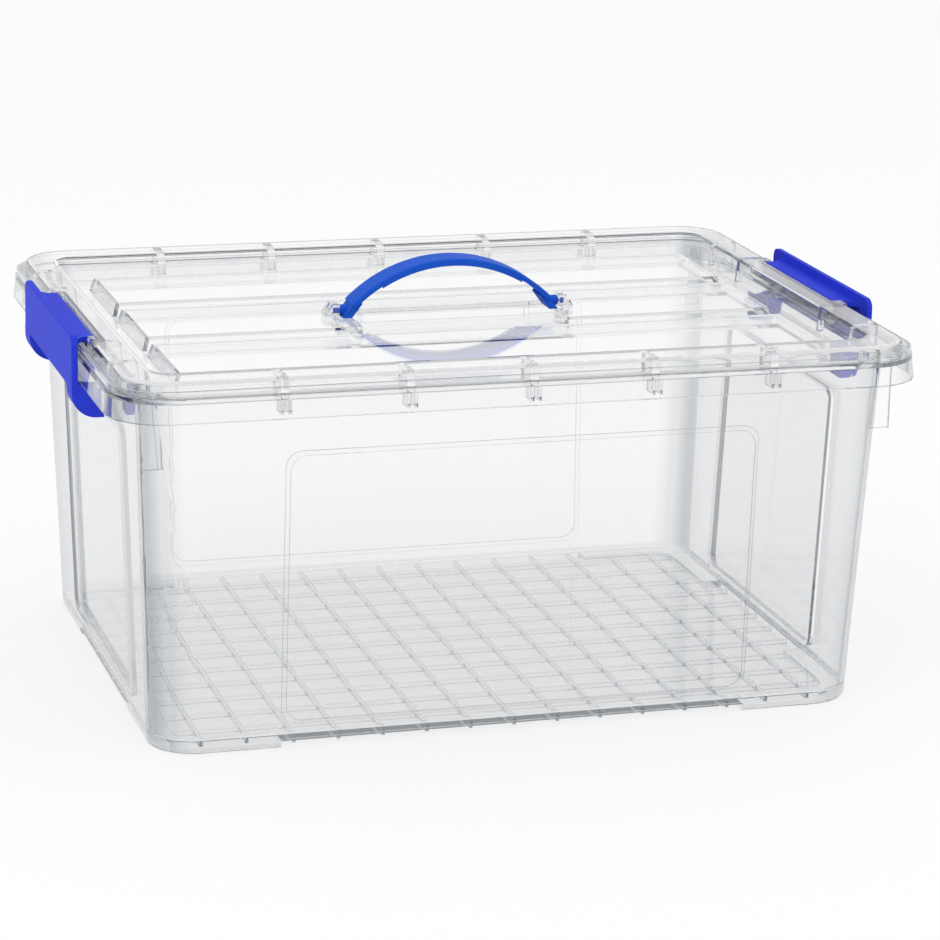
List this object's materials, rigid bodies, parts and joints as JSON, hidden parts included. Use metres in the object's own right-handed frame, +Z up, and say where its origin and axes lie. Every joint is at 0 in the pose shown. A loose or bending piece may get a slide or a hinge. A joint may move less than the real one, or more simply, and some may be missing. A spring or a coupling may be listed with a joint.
{
  "type": "storage box",
  "caption": "Clear drafted storage tub with a ribbed clear lid, a blue swing latch at each end and a blue folding carry handle on the lid.",
  "frame": {"origin": "on the table, under the middle of the box", "axes": "+X along the length towards the right latch, +Y to the back, away from the side that the handle folds to, +Z up"},
  "size_m": [0.408, 0.3, 0.2068],
  "materials": {
    "clear_tub": "water-clear moulded plastic",
    "clear_lid": "water-clear moulded plastic",
    "blue_plastic": "glossy royal blue"
  },
  "bodies": {
    "tub": {"tub": "clear_tub"},
    "lid": {"lid": "clear_lid"},
    "latch_left": {"latch_left": "blue_plastic"},
    "latch_right": {"latch_right": "blue_plastic"},
    "carry_handle": {"carry_handle": "blue_plastic"}
  },
  "joints": [
    {"name": "lid_lift", "type": "slide", "parent": "tub", "child": "lid", "axis": [0, 0, 1], "range_m": [0, 0.25]},
    {"name": "latch_left_swing", "type": "hinge", "parent": "lid", "child": "latch_left", "pos_m": [-0.1915, 0, 0.1832], "axis": [0, 1, 0], "range_deg": [0, 100]},
    {"name": "latch_right_swing", "type": "hinge", "parent": "lid", "child": "latch_right", "pos_m": [0.1915, 0, 0.1832], "axis": [0, -1, 0], "range_deg": [0, 100]},
    {"name": "handle_fold", "type": "hinge", "parent": "lid", "child": "carry_handle", "pos_m": [0, 0, 0.1816], "axis": [1, 0, 0], "range_deg": [0, 90]}
  ]
}
